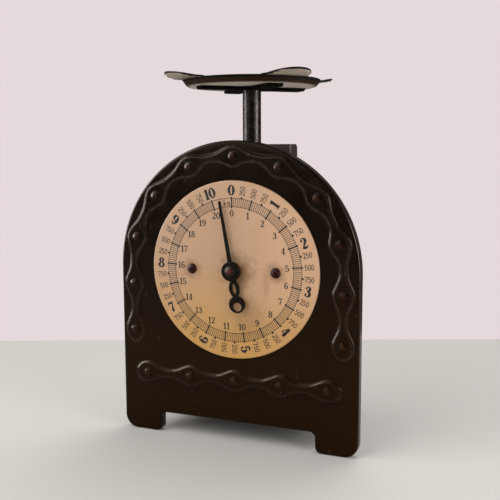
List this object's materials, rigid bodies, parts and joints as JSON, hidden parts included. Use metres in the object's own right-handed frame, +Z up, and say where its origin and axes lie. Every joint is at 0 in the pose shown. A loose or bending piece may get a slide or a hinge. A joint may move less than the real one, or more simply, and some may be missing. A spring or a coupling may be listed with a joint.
{
  "type": "weighing scale",
  "caption": "Arched household spring scale with a round dial, a lobed pan on a sliding post, twin springs and a rack-driven pointer.",
  "frame": {"origin": "on the axis of the post, at the table that the feet stand on", "axes": "+X to the right of someone reading the dial, -Y out of the dial to the front, +Z up along the post"},
  "size_m": [0.2, 0.1206, 0.2901],
  "materials": {
    "face_paint": "aged gloss, black-brown",
    "frame_steel": "dull dark brown paint",
    "dial_face": "satin, cream with age stains",
    "screw_steel": "browned",
    "plain_steel": "dull with light rust",
    "ground_steel": "ground",
    "spring_steel": "oiled",
    "brass": "aged",
    "cast_iron": "cast",
    "post_finish": "brown lacquer worn to mottled metal",
    "pan_metal": "old nickel plate",
    "black_lacquer": "satin black"
  },
  "bodies": {
    "stand": {"front_plate": "face_paint", "dial": "dial_face", "dial_screws": "screw_steel", "dial_spacers": "plain_steel", "dial_nuts": "plain_steel", "arbor_bridge": "frame_steel", "front_bush": "brass", "rear_bush": "brass", "base": "face_paint", "base_rivets": "plain_steel", "frame": "frame_steel", "left_bracket": "frame_steel", "right_bracket": "frame_steel", "plate_rivets": "plain_steel", "frame_rivets": "plain_steel", "top_bar": "frame_steel", "bar_screws": "plain_steel", "guide_bush": "brass", "upper_eyes": "plain_steel", "upper_eye_nuts": "plain_steel", "guide_rod": "ground_steel", "rod_nut": "plain_steel", "left_spring": "spring_steel", "right_spring": "spring_steel"},
    "carriage": {"pan": "pan_metal", "pan_cross": "black_lacquer", "pan_screw": "plain_steel", "post": "post_finish", "post_plug": "plain_steel", "crosshead": "cast_iron", "crosshead_pins": "plain_steel", "rod_bush": "brass", "lower_eyes": "plain_steel", "lower_eye_nuts": "plain_steel", "rack": "brass", "rack_screws": "plain_steel"},
    "pointer_arbor": {"pointer": "black_lacquer", "pointer_hub": "black_lacquer", "cap_nut": "screw_steel", "arbor": "plain_steel", "pinion": "brass"}
  },
  "joints": [
    {"name": "pan_slide", "type": "slide", "parent": "stand", "child": "carriage", "axis": [0, 0, -1], "range_m": [0, 0.0232], "stiffness_N_per_m": 4370, "springref_m": -0.002, "deforming": ["left_spring", "right_spring"]},
    {"name": "pointer_turn", "type": "hinge", "parent": "stand", "child": "pointer_arbor", "pos_m": [0, -0.0286, 0.1384], "axis": [0, 1, 0], "range_deg": [0, 355]}
  ],
  "couplings": [
    {"joint": "pointer_turn", "follows": "pan_slide", "rad_per_m": 266.67}
  ]
}
